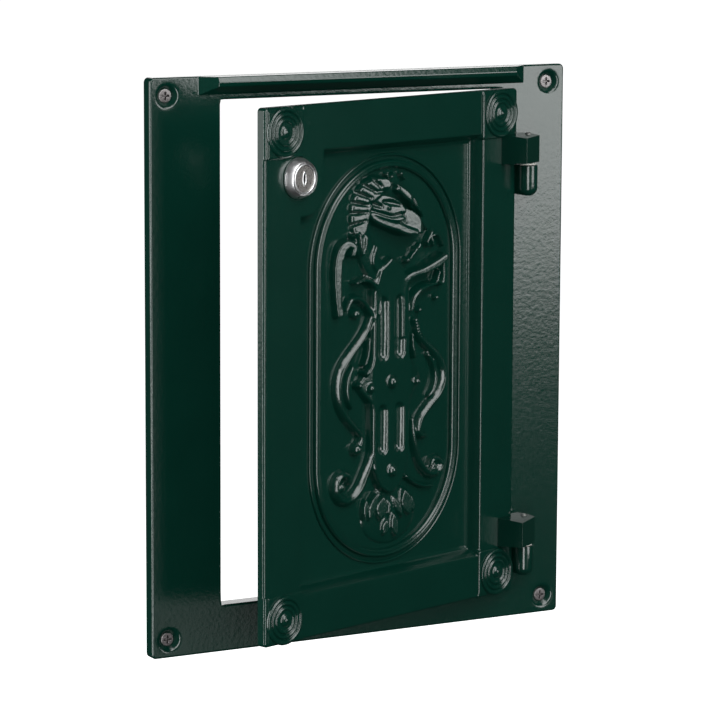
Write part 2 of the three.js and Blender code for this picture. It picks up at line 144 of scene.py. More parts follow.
def casting(across, up, front, back, kept):
    """A closed shell between two sheets over one grid: front and back give the sheets' y, kept says which cells
    there are, and walls join the sheets round the edge of the kept cells. Across runs right and up runs up."""
    rows, columns = across.shape
    number = np.arange(rows * columns).reshape(rows, columns)
    points = np.concatenate([
        np.stack([across, front, up], -1).reshape(-1, 3),
        np.stack([across, back, up], -1).reshape(-1, 3),
    ])
    low_left, low_right = number[:-1, :-1], number[1:, :-1]
    high_left, high_right = number[:-1, 1:], number[1:, 1:]
    shown = np.stack([low_left, low_right, high_right, high_left], -1)[kept]
    behind = rows * columns
    framed = np.pad(kept, 1)
    walls = []
    for near, far, a, b in (
        (framed[:-2, 1:-1], kept, low_left, high_left),
        (framed[2:, 1:-1], kept, high_right, low_right),
        (framed[1:-1, :-2], kept, low_right, low_left),
        (framed[1:-1, 2:], kept, high_left, high_right),
    ):
        edge = far & ~near
        walls.append(np.stack([a[edge], b[edge], b[edge] + behind, a[edge] + behind], -1))
    faces = np.concatenate([shown, shown[:, ::-1] + behind, *(wall[:, ::-1] for wall in walls)])
    used, faces = np.unique(faces, return_inverse=True)
    return points[used], faces.reshape(-1, 4)


PLATE = (-141.5, 141.5, -172.5, 172.5)
MOUTH = (-95.5, 95.5, -144, 158.5)
PLATE_FACE, POCKET_FLOOR, COLLAR_END = -8, -4, 3
PIN_X, PIN_Y = 109.2, -19
SCREWS = [(sx * 130.3, sz * 161.7) for sx in (-1, 1) for sz in (-1, 1)]


def plate_front(across, up):
    """y of the plate's face: round edges outside and at the mouth, and a conical pit for each screw head, about as
    deep as a point is inside a circle of 6.9 mm radius, to 4.5 mm at most."""
    y = PLATE_FACE + round_over(inside(across, up, *PLATE, 3), 1.3)
    y = y + round_over(-inside(across, up, *MOUTH, 2.5), 1.0)
    for x, z in SCREWS:
        cone = 6.9 - np.hypot(across - x, up - z)
        y = y + np.clip((cone + np.sqrt(cone**2 + 0.5)) / 2, 0, 4.5)
    return y


def plate_back(across, up):
    """y of the plate's back: a rim, pockets with ribs between them down both sides and along the bottom, and the
    collar round the mouth."""
    y = np.zeros_like(across)
    for x, z, half_width, half_height in pockets:
        deep = inside(across, up, x - half_width, x + half_width, z - half_height, z + half_height, 1.5)
        y = np.minimum(y, POCKET_FLOOR * np.clip(deep / 0.8 + 0.5, 0, 1))
    collar = -inside(across, up, *MOUTH, 2.5)
    return np.where(collar < 4, COLLAR_END - round_over(4 - collar, 0.8) - round_over(collar, 0.6), y)


side_rows = np.linspace(-148.9, 151.9, 5)
pockets = [
    (side * 118.25, (low + high - 3) / 2, 17.25, (high - low - 3) / 2)
    for side in (-1, 1)
    for low, high in zip(side_rows[:-1], side_rows[1:])
]
pockets += [(x, -158, 37.4, 8.5) for x in (-77.8, 0, 77.8)]

x_lines = grid_lines(
    (-141.5, -138.5, 0.3), (-138.5, -122, 0.5), (-122, -103, 2), (-103, -90, 0.5), (-90, 90, 6),
    (90, 103, 0.5), (103, 122, 2), (122, 138.5, 0.5), (138.5, 141.5, 0.3),
)
z_lines = grid_lines(
    (-172.5, -169.5, 0.3), (-169.5, -142, 0.5), (-142, 153, 6), (153, 169.5, 0.5), (169.5, 172.5, 0.3),
)
x_lines[np.abs(x_lines - MOUTH[0]).argmin()], x_lines[np.abs(x_lines - MOUTH[1]).argmin()] = MOUTH[:2]
z_lines[np.abs(z_lines - MOUTH[2]).argmin()], z_lines[np.abs(z_lines - MOUTH[3]).argmin()] = MOUTH[2:]
across, up = np.meshgrid(x_lines, z_lines, indexing="ij")
middle_x, middle_z = (x_lines[:-1] + x_lines[1:]) / 2, (z_lines[:-1] + z_lines[1:]) / 2
in_mouth = (np.abs(middle_x) < MOUTH[1])[:, None] & ((middle_z > MOUTH[2]) & (middle_z < MOUTH[3]))[None]
across, up = round_corners(across, up, *PLATE, 3)
plate = casting(across, up, plate_front(across, up), plate_back(across, up), ~in_mouth)


def bearing(top):
    """Bearing for a hinge pin, one section per height: a U of half width w that reaches back to the plate, where w
    is full down to the foot and then shrinks as a round, and the nose of the U is a half circle round the pin."""
    radius, tall, foot = 6.15, 19, 5.2
    turn = np.linspace(0, np.pi / 2, 9)[:, None]
    height = np.concatenate([top - tall + foot * (1 - np.cos(turn)), [[top - 0.5], [top - 0.15], [top]]])
    shrink = np.concatenate([foot * (1 - np.sin(turn)), [[0.0], [0.15], [0.5]]])
    around = np.linspace(np.pi, 2 * np.pi, 25)[None]
    half = np.maximum(radius - shrink, 0.6)
    nose_x, nose_y = half * np.cos(around), PIN_Y + half * np.sin(around)
    root = np.full_like(half, PLATE_FACE + 1)
    flare = np.concatenate([half + 1.2, half + 0.3, half], 1)
    x = np.concatenate([-flare, nose_x[:, 1:-1], flare[:, ::-1]], 1)
    y = np.concatenate([root, root - 1.4, root - 3, nose_y[:, 1:-1], root - 3, root - 1.4, root], 1)
    x = np.where((x < -5.3) & (y > PIN_Y), np.maximum(x, -5.6), x)
    points = np.stack([x + PIN_X, y, height + 0 * x], -1)
    return loft(points)


def loft(sections):
    """A closed shell through rings of points, the first and last closed with a flat cap."""
    rings, count = sections.shape[:2]
    number = np.arange(rings * count).reshape(rings, count)
    beside = np.roll(number, -1, axis=1)
    sides = np.stack([number[:-1], beside[:-1], beside[1:], number[1:]], -1).reshape(-1, 4)
    return sections.reshape(-1, 3), [*sides.tolist(), number[0][::-1].tolist(), number[-1].tolist()]


def add(*parts):
    """Closed shells, some with faces of many sides, as one."""
    points, faces, start = [], [], 0
    for some_points, some_faces in parts:
        points.append(some_points)
        faces += [[int(i) + start for i in face] for face in some_faces]
        start += len(some_points)
    return np.concatenate(points), faces


cast_frame = piece(
    "cast_frame", *add(plate, bearing(112.3), bearing(-125.2)), moss_green, "frame", "powder_coat"
)
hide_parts("frame_casting")


def by_angle(shown, degrees):
    """Shades the mesh smooth, except across edges sharper than the angle."""
    shown.data.set_sharp_from_angle(angle=math.radians(degrees))


by_angle(cast_frame, 38)


def rounded_solid(name, corners, radius, material, body):
    """The convex solid on the corner points, with its edges rounded."""
    made = bpy.data.meshes.new(name)
    work = bmesh.new()
    for corner in corners:
        work.verts.new(Vector(corner) * MM)
    hull = bmesh.ops.convex_hull(work, input=work.verts)
    inner = [v for v in hull["geom_interior"] if isinstance(v, bmesh.types.BMVert)]
    bmesh.ops.delete(work, geom=inner, context="VERTS")
    bmesh.ops.dissolve_limit(work, angle_limit=math.radians(1), verts=work.verts, edges=work.edges)
    for face in work.faces:
        face.smooth = True
    work.to_mesh(made)
    work.free()
    made.materials.append(material)
    shown = bpy.data.objects.new(name, made)
    bpy.context.scene.collection.objects.link(shown)
    rounding = shown.modifiers.new("rounding", "BEVEL")
    rounding.width = radius * MM
    rounding.segments = 4
    rounding.limit_method = "ANGLE"
    rounding.angle_limit = math.radians(30)
    rounding.harden_normals = True
    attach(shown, body)
    return shown


hood_root = [(x, y, z) for x in (-110.5, 112.5) for y in (-8, -7) for z in (161.5, 172.4)]
hood_nose = [(x, y, z) for x in (-100.5, 102.5) for y, z in ((-16.2, 166.8), (-16.9, 169.2), (-15.2, 172.4))]
rounded_solid("drip_hood", hood_root + hood_nose, 1.3, moss_green, "frame")


# ---- wall screws ----
# Countersunk wood screws with a cross recess, dull zinc gone grey-brown, one in each corner of the frame.

def metal(name, colour, roughness, grain=900, wear=0.12, bump=0.00002):
    """Metal with a fine grain: noise moves the gloss by wear either way, shifts the tone a little and gives the
    surface its tooth."""
    made = bpy.data.materials.new(name)
    made.use_nodes = True
    nodes, links = made.node_tree.nodes, made.node_tree.links
    shader = nodes["Principled BSDF"]
    place = nodes.new("ShaderNodeTexCoord")
    noise = nodes.new("ShaderNodeTexNoise")
    noise.inputs["Scale"].default_value = grain
    noise.inputs["Detail"].default_value = 4
    links.new(place.outputs["Object"], noise.inputs["Vector"])
    gloss = nodes.new("ShaderNodeMapRange")
    gloss.inputs["To Min"].default_value = max(roughness - wear, 0.02)
    gloss.inputs["To Max"].default_value = roughness + wear
    links.new(noise.outputs["Fac"], gloss.inputs["Value"])
    links.new(gloss.outputs["Result"], shader.inputs["Roughness"])
    tone = nodes.new("ShaderNodeMix")
    tone.data_type = "RGBA"
    tone.inputs["A"].default_value = (*(0.8 * c for c in colour), 1)
    tone.inputs["B"].default_value = (*colour, 1)
    links.new(noise.outputs["Fac"], tone.inputs["Factor"])
    links.new(tone.outputs["Result"], shader.inputs["Base Color"])
    tooth = nodes.new("ShaderNodeBump")
    tooth.inputs["Strength"].default_value = 0.4
    tooth.inputs["Distance"].default_value = bump
    links.new(noise.outputs["Fac"], tooth.inputs["Height"])
    links.new(tooth.outputs["Normal"], shader.inputs["Normal"])
    shader.inputs["Metallic"].default_value = 1.0
    return made


zinc = metal("dull_zinc", (0.2, 0.19, 0.19), 0.42)


def wall_screw():
    """A screw along Y about the origin: radius and depth are read along a profile, with the turn as the second
    parameter. The cross is cut where a point of the head is near either axis, and the thread is a ridge that
    rises where turn and depth are in step."""
    top, pitch = -5.4, 1.4
    head_rows, shank_rows, tip_rows = 26, 90, 16
    head = np.linspace(0, 3.7, head_rows)
    shank = np.linspace(top + 2.5, 11.5, shank_rows)
    tip = np.linspace(11.7, 16.5, tip_rows)
    narrowing = np.linspace(1.7, 0.02, tip_rows)
    radius = np.concatenate([head, [3.95, 4.0], [2.1], np.full(shank_rows, 1.75), narrowing])[:, None]
    depth = np.concatenate([np.full(head_rows, top), [top + 0.1, top + 0.35], [top + 2.3], shank, tip])[:, None]
    turn = np.linspace(0, 2 * np.pi, 49)[None, :-1]
    across, up = radius * np.cos(turn), radius * np.sin(turn)
    near = np.minimum(np.abs(across), np.abs(up))
    far = np.maximum(np.abs(across), np.abs(up))
    cross = np.clip((0.55 - near) / 0.25, 0, 1) * np.clip((2.5 - far) / 0.5, 0, 1)
    on_head = np.arange(len(depth))[:, None] < head_rows
    y = depth + np.where(on_head, 1.5 * cross - 0.15 * (1 - (radius / 4) ** 2), 0)
    threaded = np.clip(depth, 0, 1) * np.clip((16.3 - depth) / 3, 0, 1)
    ridge = np.maximum(0, np.cos(turn - 2 * np.pi * depth / pitch) - 0.2) / 0.8
    grown = radius + 0.45 * ridge * threaded
    points = np.stack([grown * np.cos(turn), y, grown * np.sin(turn)], -1)
    points[0] = points[0].mean(0)
    points[-1] = points[-1].mean(0)
    return loft(points)


screw_points, screw_faces = wall_screw()
for corner, (x, z) in zip(("lower_left", "upper_left", "lower_right", "upper_right"), SCREWS):
    screw = piece("screw_" + corner, screw_points + [x, 0, z], screw_faces, zinc, "frame", "zinc_steel")
    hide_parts("wall_screw_" + corner)
    by_angle(screw, 50)


# ---- door ----
# Aluminium casting in the same green: rails round a sunk panel, a raised block with a turned rosette at each
# corner, a flat for the lock in the upper left of the panel, and two knuckles that hang on the hinge pins. It is
# drawn closed, s to the right and v up from its lower left corner and m towards the front, and is then turned open.

hinge_joint = next(joint for joint in frame["joints"] if joint["name"] == "door_hinge")
HINGE = np.array(hinge_joint["pos_m"]) / MM
AJAR = math.radians(-hinge_joint["range_deg"][0])
DOOR_WIDE, DOOR_TALL, DOOR_FOOT = 218, 313, -153.7
PIN_BESIDE, PIN_FRONT = 5.8, 3.35
RAIL, RIM, CHANNEL, PANEL, PANEL_BACK = -1.2, -7, -4.2, -9.3, -12.4


def hung(s, v, m):
    """Points of the closed door, turned open about the hinge line."""
    x, y = s - DOOR_WIDE - PIN_BESIDE, PIN_FRONT - m
    turned_x = x * math.cos(AJAR) - y * math.sin(AJAR)
    turned_y = x * math.sin(AJAR) + y * math.cos(AJAR)
    return np.stack(np.broadcast_arrays(HINGE[0] + turned_x, HINGE[1] + turned_y, v + DOOR_FOOT), -1)


def panel_depth(s, v):
    """How far inside the sunk panel a point is: inside the rectangle of the rails and outside the lock's flat."""
    well = inside(s, v, 29.4, DOOR_WIDE - 29.4, 26, DOOR_TALL - 26, 1.2)
    lock_flat = inside(s, v, -60, 48.5, 249.5, 360, 13)
    return np.minimum(well, -lock_flat)


def block_depth(s, v):
    """How far inside the nearest corner block a point is."""
    from_side = np.minimum(s, DOOR_WIDE - s)
    from_end = np.minimum(v, DOOR_TALL - v)
    return inside(from_side, from_end, -20, 31, -20, 29, 1)


def door_front(s, v):
    """m of the front: rails, then down two slopes and a low step to the panel as panel_depth grows, with the
    blocks standing 1.2 mm over the rails on a 1 mm bevel, and a round edge."""
    fall = [0, 0.35, 0.8, 2.5, 2.75, 4.1, 4.35, 5.2, 5.4, 5.9]
    depth = [0, 0.12, 0.75, 3.7, 4.2, 7.2, 7.4, 7.5, 7.75, RAIL - PANEL]
    m = RAIL - np.interp(panel_depth(s, v), fall, depth)
    block = block_depth(s, v)
    raised = np.interp(block, [-1.2, -0.9, -0.15, 0.25], [-2.4, -1.9, -0.2, 0])
    m = np.where(block > -1.2, np.maximum(m, raised), m)
    edge = inside(s, v, 0, DOOR_WIDE, 0, DOOR_TALL, 2.5)
    return m - round_over(edge, 1.5) - 0.35 * np.clip((2.6 - edge) / 0.5, 0, 1) * (block > 0)


def door_back(s, v):
    """m of the back: a rim, a channel behind the rails, the panel bulging through it, and thick roots behind the
    knuckles."""
    edge = inside(s, v, 0, DOOR_WIDE, 0, DOOR_TALL, 2.5)
    m = CHANNEL + (RIM - CHANNEL) * np.clip((3.2 - edge) / 0.6, 0, 1)
    for foot in KNUCKLE_FEET:
        root = inside(s, v, DOOR_WIDE - 26, DOOR_WIDE + 20, foot - 4, foot + 22, 2)
        m = np.minimum(m, CHANNEL + (RIM - CHANNEL) * np.clip(root / 0.8, 0, 1))
    bulge = np.clip((panel_depth(s, v) + 1.2) / 3.4, 0, 1)
    return np.minimum(m, CHANNEL + (PANEL_BACK - CHANNEL) * bulge) + round_over(edge, 0.6)


KNUCKLE_FEET = (29.7, 267.2)
s_lines = grid_lines(
    (0, 4, 0.3), (4, 25, 3), (25, 57, 0.55), (57, 181, 4), (181, 194, 0.4), (194, 214, 2.5), (214, 218, 0.3),
)
v_lines = grid_lines(
    (0, 4, 0.3), (4, 20, 3), (20, 34, 0.4), (34, 242, 4), (242, 268, 0.55), (268, 276, 2), (276, 292, 0.4),
    (292, 309, 3), (309, 313, 0.3),
)
s, v = np.meshgrid(s_lines, v_lines, indexing="ij")
s, v = round_corners(s, v, 0, DOOR_WIDE, 0, DOOR_TALL, 2.5)
every_cell = np.ones((len(s_lines) - 1, len(v_lines) - 1), bool)
door_points, door_faces = casting(s, v, -door_front(s, v), -door_back(s, v), every_cell)
door_points = hung(door_points[:, 0], door_points[:, 2], -door_points[:, 1])
cast_door = piece("cast_door", door_points, door_faces, moss_green, "door", "powder_coat")
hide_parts("door_casting")
by_angle(cast_door, 40)


def rosette(centre_s, centre_v):
    """A turned boss: its height is read against the radius, three rings with grooves between and a knob with a
    bead on it."""
    face = np.linspace(0, 14.6, 74)
    height = np.full(len(face), 0.25)
    for at, half, rise in ((13.2, 1.45, 1.15), (10.0, 1.25, 1.0), (7.0, 1.1, 0.9), (0, 3.9, 1.3), (0, 1.2, 0.6)):
        height += rise * np.sqrt(np.clip(1 - ((face - at) / half) ** 2, 0, 1))
    radius = np.concatenate([face, [14.8, 14.8, 0]])
    height = np.concatenate([height, [0, -0.6, -0.6]])
    turn = np.linspace(0, 2 * np.pi, 73)[None, :-1]
    reach = radius[1:-1, None]
    s = centre_s + reach * np.cos(turn)
    v = centre_v + reach * np.sin(turn)
    points, faces = loft(hung(s, v, height[1:-1, None] + 0 * s))
    return points, [face[::-1] for face in faces]


rosettes = [rosette(s, v) for s in (16, DOOR_WIDE - 15.5) for v in (14.3, DOOR_TALL - 14.5)]
door_rosettes = piece("door_rosettes", *add(*rosettes), moss_green, "door", "powder_coat")
by_angle(door_rosettes, 75)

for level, foot in zip(("lower", "upper"), KNUCKLE_FEET):
    outline = [(19.3, -2.2), (19.3, 0), (16, 16.5), (-3, 10.2), (-2.6, -4.4), (2, -4.8), (6, -5)]
    outline += [(-4.3 * math.cos(turn), PIN_FRONT + 4.3 * math.sin(turn)) for turn in np.linspace(-1.05, 1.05, 9)]
    corners = []
    for out, m in outline:
        inset = 1.3 * max(m, 0) / 16.5
        for v in (foot + inset, foot + 18 - inset):
            corners.append(hung(np.float64(DOOR_WIDE + PIN_BESIDE - out), v, m))
    rounded_solid("knuckle_" + level, corners, 1.2, moss_green, "door")


# ---- ornament ----
# Cast in one with the door: a racetrack moulding of a thin ridge and a reeded bead round the panel, and inside it
# a fluted column with scrolls, a maned beast's head over it and a palmette under it.

CENTRE_S, CENTRE_V = 110.2, 156.5


def ring_faces(rings, count):
    """Quads of a closed tube: rings of count points each, joined in order and the last to the first."""
    number = np.arange(rings * count).reshape(rings, count)
    beyond, beside = np.roll(number, -1, axis=0), np.roll(number, -1, axis=1)
    return np.stack([number, beyond, np.roll(beyond, -1, axis=1), beside], -1).reshape(-1, 4)


def moulding(half_wide, half_tall, offset, height):
    """A profile carried round a racetrack: a point goes the straight part's half length up or down from the
    centre, and then half_wide plus its offset along the path's own normal."""
    steps = 65
    turn = np.concatenate([np.linspace(0, np.pi, steps), np.linspace(np.pi, 2 * np.pi, steps)])[None]
    straight = (half_tall - half_wide) * np.where(np.arange(2 * steps) < steps, 1, -1)[None]
    reach = half_wide + offset[:, None]
    s = CENTRE_S + reach * np.cos(turn)
    v = CENTRE_V + straight + reach * np.sin(turn)
    points = hung(s, v, PANEL + height[:, None] + 0 * s)
    return points.reshape(-1, 3), ring_faces(*points.shape[:2])


def half_round(half, rise, groove=0.0):
    """Offsets and heights of a half round bar with a groove along its crest, closed under the panel's face."""
    lean = np.linspace(-np.pi / 2, np.pi / 2, 21)
    offset = half * np.sin(lean)
    height = rise * np.cos(lean) ** 0.9 - groove * np.exp(-((offset / (0.22 * half)) ** 2))
    return np.concatenate([offset, [half, -half]]), np.concatenate([height, [-0.8, -0.8]])


ridge = moulding(65.3, 122.6, *half_round(0.85, 1.5))
reeded = moulding(59.4, 117.2, *half_round(2.5, 3.1, 0.75))
door_moulding = piece("door_moulding", *add(ridge, reeded), moss_green, "door", "powder_coat")
by_angle(door_moulding, 75)

relief_s, relief_v = np.meshgrid(np.arange(52, 166.1, 0.52), np.arange(34, 276.1, 0.56), indexing="ij")
relief = np.full_like(relief_s, -1.0)


def lay(height):
    """Adds a form to the relief: the higher of the two, melted together by half a millimetre where they meet."""
    global relief
    melt = 0.5
    apart = np.abs(relief - height)
    relief = np.maximum(relief, height) + np.maximum(melt - apart, 0) ** 2 / (4 * melt)


def smooth_line(points, count=64):
    """Points evenly along the Catmull-Rom line through the given rows."""
    rows = np.array(points, float)
    rows = np.vstack([2 * rows[0] - rows[1], rows, 2 * rows[-1] - rows[-2]])
    along = np.linspace(0, len(rows) - 3 - 1e-6, count)
    i = along.astype(int)
    t = (along - i)[:, None]
    a, b, c, d = rows[i], rows[i + 1], rows[i + 2], rows[i + 3]
    return b + t * (c - a) / 2 + t**2 * (a - 2.5 * b + 2 * c - d / 2) + t**3 * (1.5 * (b - c) + (d - a) / 2)


def band(points, rise, crest=0.6, base=0.0):
    """A round bar along a line of rows (s, v, half width): its height is rise times (1 - u squared) to the power
    crest, where u is the distance to the line over the half width. Gives u, 9 far from the line."""
    line = smooth_line(points)
    reach = line[:, 2].max() + 0.5
    near = (
        (relief_s > line[:, 0].min() - reach) & (relief_s < line[:, 0].max() + reach)
        & (relief_v > line[:, 1].min() - reach) & (relief_v < line[:, 1].max() + reach)
    )
    s, v = relief_s[near][:, None], relief_v[near][:, None]
    u = (np.hypot(s - line[:, 0], v - line[:, 1]) / line[:, 2]).min(1)
    spread = np.full_like(relief_s, 9.0)
    spread[near] = u
    if rise:
        lay(np.where(spread < 1, base + rise * np.clip(1 - spread**2, 0, 1) ** crest, -1))
    return spread


def roof(points, rise, base=1.4):
    """A bar whose two flanks are nearly flat: its height falls as u to the power 1.25."""
    spread = band(points, 0)
    lay(np.where(spread < 1, base + rise * (1 - np.clip(spread, 0, 1) ** 1.25), -1))


def slab(points, start, height, slope):
    """A bar with a flat top that is height at s = start and gains slope for each millimetre right."""
    spread = band(points, 0)
    edge = np.clip(4 * (1 - spread), 0, 1) ** 0.4
    lay(np.where(spread < 1, (height + slope * (relief_s - start)) * edge, -1))


def dome(s, v, half_s, half_v, rise, lean=0, base=0.0, crest=0.55):
    """An oval mound, leaning lean degrees anticlockwise."""
    turn = math.radians(lean)
    along = (relief_s - s) * math.cos(turn) + (relief_v - v) * math.sin(turn)
    off = (relief_v - v) * math.cos(turn) - (relief_s - s) * math.sin(turn)
    u = (along / half_s) ** 2 + (off / half_v) ** 2
    lay(np.where(u < 1, base + rise * np.clip(1 - u, 0, 1) ** crest, -1))


def hollow(points, depth):
    """A round bottomed groove along a line of rows (s, v, half width)."""
    global relief
    line = smooth_line(points)
    u = np.full(relief_s.shape, 9.0)
    for s, v, half in line:
        u = np.minimum(u, np.hypot(relief_s - s, relief_v - v) / half)
    relief = np.where(relief > -0.5, relief - depth * np.clip(1 - u**2, 0, 1) ** 0.7, relief)


# column: a flat shaft with a lozenge at its middle and a round foot
from_axis = np.abs(relief_s - 110.9)
column_half = np.interp(
    relief_v, [75.5, 77, 80, 84, 92, 104, 128, 132, 143.5, 155, 159, 200, 211, 219],
    [0, 5, 9.5, 12, 16, 17.4, 17.4, 18.5, 29, 18.5, 17.2, 16.5, 12, 0],
)
shaft = 5.2 * np.clip((column_half - from_axis) / 2.2, 0, 1) ** 0.5
facet = np.clip((from_axis - 17) / 11, 0, 1) * np.clip((column_half - 17.5) / 1.5, 0, 1)
lay(np.where(column_half > from_axis, shaft * (1 - 0.45 * facet), -1))
for flute in (103.2, 117.6):
    hollow([(flute, 191, 4.4), (flute, 176, 4.6), (flute, 161, 4.4)], 3.2)
    hollow([(flute, 126, 4.2), (flute, 114, 4.2), (flute, 104, 4)], 3.0)
for s, v, half, top in (
    (110.5, 143.5, 4, 9), (92.3, 141.5, 2.9, 8), (132.3, 141.5, 2.7, 8), (83.5, 144, 2.1, 6.4), (88.8, 151, 2.1, 7.4),
    (111, 89.8, 4, 8.4), (126, 215, 2.2, 5),
):
    dome(s, v, half, half, 4, base=top - 4)
band([(92.5, 170, 1.5), (91.5, 162, 1.5), (89, 156, 1.6)], 5)
band([(130, 170, 1.5), (131, 162, 1.5), (133, 156, 1.6)], 5)

# long scrolls beside the column, each with a crescent inside its bow
roof([
    (95.5, 187, 2.4), (92.5, 178, 2.9), (86, 170, 3.3), (77, 162, 3.5), (70, 154, 3.6), (67.2, 145, 3.5),
    (68.6, 135, 3.2), (74, 126, 2.9), (81.5, 118.5, 2.6), (86.5, 113, 2.4), (85.5, 108, 3)
], 3.5)
roof([
    (134, 178, 2.2), (138, 168, 2.6), (146, 161, 3), (154, 154, 3.3), (159, 146, 3.5), (159.3, 138, 3.5),
    (155, 130.5, 3.4), (147, 124.5, 3.3), (140, 118.5, 3), (137, 112, 2.8), (139, 108, 2.6), (143, 106.5, 2.2)
], 3.5)
dome(83.4, 105.5, 4.4, 4.2, 5.6)
band([(80, 156, 0.8), (76.4, 150, 2), (75.3, 143, 2.4), (76.4, 136, 2), (79, 130.5, 0.8)], 3.8)
band([(145.5, 156, 1), (151, 149, 2.1), (153, 142, 2.4), (151, 135, 2.1), (146.5, 130.5, 1)], 3.8)

# volutes at the column's foot, and the palmette that hangs under it
roof([
    (97, 118, 2.4), (96.8, 106, 3), (94.8, 97, 3.3), (91, 89.5, 3.6), (85.5, 81, 3.8), (78, 76, 3.7),
    (71, 76.5, 3.5), (66.3, 81.5, 3.4), (65.8, 87.5, 3.2), (70, 91.5, 3), (75.5, 90.5, 2.6), (77, 86.5, 1.8)
], 3.7)
roof([
    (131, 118, 2.2), (132.6, 108, 2.6), (135.8, 98, 2.8), (140.2, 89, 3), (147, 83.2, 3.2), (153.5, 82.8, 3.1),
    (157.6, 86.5, 2.9), (155, 90.5, 2.8), (150, 90.8, 2.5), (148, 88, 2)
], 3.7)
dome(71.8, 84, 3, 3, 3)
dome(152.6, 86.8, 2.4, 2.4, 3)
band([(126, 84, 1.4), (134, 79, 1.7), (142, 76, 1.6), (151, 74.8, 0.8)], 4)
dome(112.8, 62.5, 23.8, 18, 2.4, crest=0.4)


LEAF_SLOPE = 0.29


def leaf(s, v, half_s, half_v, lean, top):
    """A pointed oval with one flat facet, leaning lean degrees anticlockwise: it is inside where |off| is less than
    1 - along squared, and from its right edge, at height top, the facet falls by LEAF_SLOPE for each millimetre
    left."""
    turn = math.radians(lean)
    along = ((relief_v - v) * math.cos(turn) - (relief_s - s) * math.sin(turn)) / half_v
    off = ((relief_s - s) * math.cos(turn) + (relief_v - v) * math.sin(turn)) / half_s
    lay(np.where(np.abs(off) < 1 - along**2, top - LEAF_SLOPE * np.abs(half_s + s - relief_s), -1))


for s, v, half_s, half_v, lean, top in (
    (90.6, 68.5, 2, 6.6, -4, 4.4), (96.2, 69.6, 2.8, 9, -18, 5.6), (103.2, 67.8, 3.9, 7.4, -10, 6.6),
    (107.4, 55.4, 2.6, 5, -12, 5.4), (115.3, 55.6, 2.7, 7.4, 8, 5.6), (118.4, 66, 2.1, 8, 28, 5.4),
    (125.6, 68.4, 3.9, 8.4, 12, 6.2), (132.4, 66, 1.8, 5.5, 10, 3.8), (110.8, 66, 1.6, 4.6, 0, 4.8),
):
    leaf(s, v, half_s, half_v, lean, top)

# brackets on the column's shoulders
slab([
    (67, 188, 2.8), (66, 203, 3.6), (66, 216, 3.8), (68, 225, 3.6), (72.8, 229, 3), (77, 227, 2.4), (76.2, 223, 2.2)
], 62, 4, 0.2)
hollow([(68.4, 192, 0.6), (68.6, 208, 0.7), (69, 219, 0.7)], 1.6)
band([(73, 190, 1.6), (77, 195.5, 2.2), (84, 195.6, 2.4), (91, 190.5, 2.4), (96, 182, 2.2), (98, 173, 1.6)], 5)
band([
    (80, 205.5, 1.4), (88, 206.5, 2), (95, 203.5, 2.4), (99.5, 197, 2.4), (100.8, 190, 1.8), (100.4, 184.5, 0.9)
], 6.4)
dome(82, 187, 4.2, 3.6, 5.6)
slab([
    (121, 170, 1.8), (121, 186, 2), (121.2, 197, 2.6), (123, 202.5, 2.6), (128.2, 206, 2.5), (137.5, 208, 2.7),
    (147, 211.2, 3.1), (154, 215, 2.6)
], 120, 5, 0.15)
band([(157, 215, 1.4), (157.8, 206, 1.5), (156.6, 198.5, 1.8), (152.6, 201, 1.4), (154.4, 206, 0.9)], 5)
band([(128.3, 184.5, 1.4), (130.4, 191, 2.4), (135.4, 195.3, 2.7), (142.5, 197.8, 2.3), (151, 198.8, 1.6)], 5.8)
for s, v in ((137.5, 184), (152.5, 190), (134, 220.5)):
    dome(s, v, 2.2, 2, 4.4)
band([(147.4, 231, 1), (145.4, 228, 1.5), (143.2, 225.2, 1.5), (144.4, 222, 1.2)], 5)
band([(148, 227.6, 1.1), (150.6, 228.4, 1.4), (154, 227, 1.1), (157.6, 221, 0.9)], 4.6)
band([(147.4, 226, 1.2), (149.2, 221.8, 1.2)], 4.6)
band([(138, 224, 1), (135.4, 220.6, 1.5), (131, 217.6, 1), (127.6, 213.6, 1)], 3.8)

# head of a maned beast that looks down to the right: neck, locks, then the face from its skull to its nose
band([(86, 241, 5.5), (88, 231, 7.5), (93, 221, 8), (99, 212, 8), (106, 204, 8)], 4.2, 0.35)
slab([
    (84.6, 236.5, 5.4), (84.8, 243.5, 7.2), (86, 250.5, 7.8), (89.6, 256.4, 7.4), (95.4, 260.4, 6.6),
    (101.4, 262.2, 5)
], 78, 2.4, 0.26)
for tip_s, tip_v, root_s, root_v in (
    (79, 239.4, 88, 241.4), (78.4, 246.4, 89, 246.4), (79.6, 252.8, 90, 250.6), (82.6, 258.4, 92, 254.6),
    (87, 263, 95, 258.6), (93.2, 266.6, 98.6, 260.8),
):
    half_way = (0.5 * root_s + 0.5 * tip_s, 0.5 * root_v + 0.5 * tip_v, 1)
    hollow([(tip_s, tip_v, 1.3), half_way, (root_s, root_v, 0.5)], 2.8)
for rows in (
    [(107.8, 268, 0.9), (109.4, 264, 1.3)], [(113.8, 267.6, 1), (111.8, 265.6, 1)],
    [(120.4, 267.6, 1), (123.6, 263.4, 1)],
):
    band(rows, 4)
slab([(95, 250.6, 5.4), (101.5, 249.5, 8.6), (107.5, 247.2, 8.2), (112, 244.6, 6.6)], 90, 4.4, 0.24)
band([(112, 244, 6.4), (119.5, 240.4, 6.2), (127, 236, 4.2), (130, 234, 3)], 7, 0.3)
leaf(125.4, 239, 5.4, 12.5, 44, 9.8)
for brow in (
    [(94, 258, 0.6), (100, 258.4, 1.6), (106, 257.2, 2), (112, 254.2, 0.8)],
    [(101, 252, 0.8), (107, 251, 1.8), (113, 249.4, 0.8)],
):
    hollow(brow, 1.3)
hollow([(91, 252.4, 0.8), (95.4, 250.8, 1.2), (99.6, 249.2, 0.8)], 2.2)
dome(104.6, 248.2, 2.6, 1.5, 9, -24)
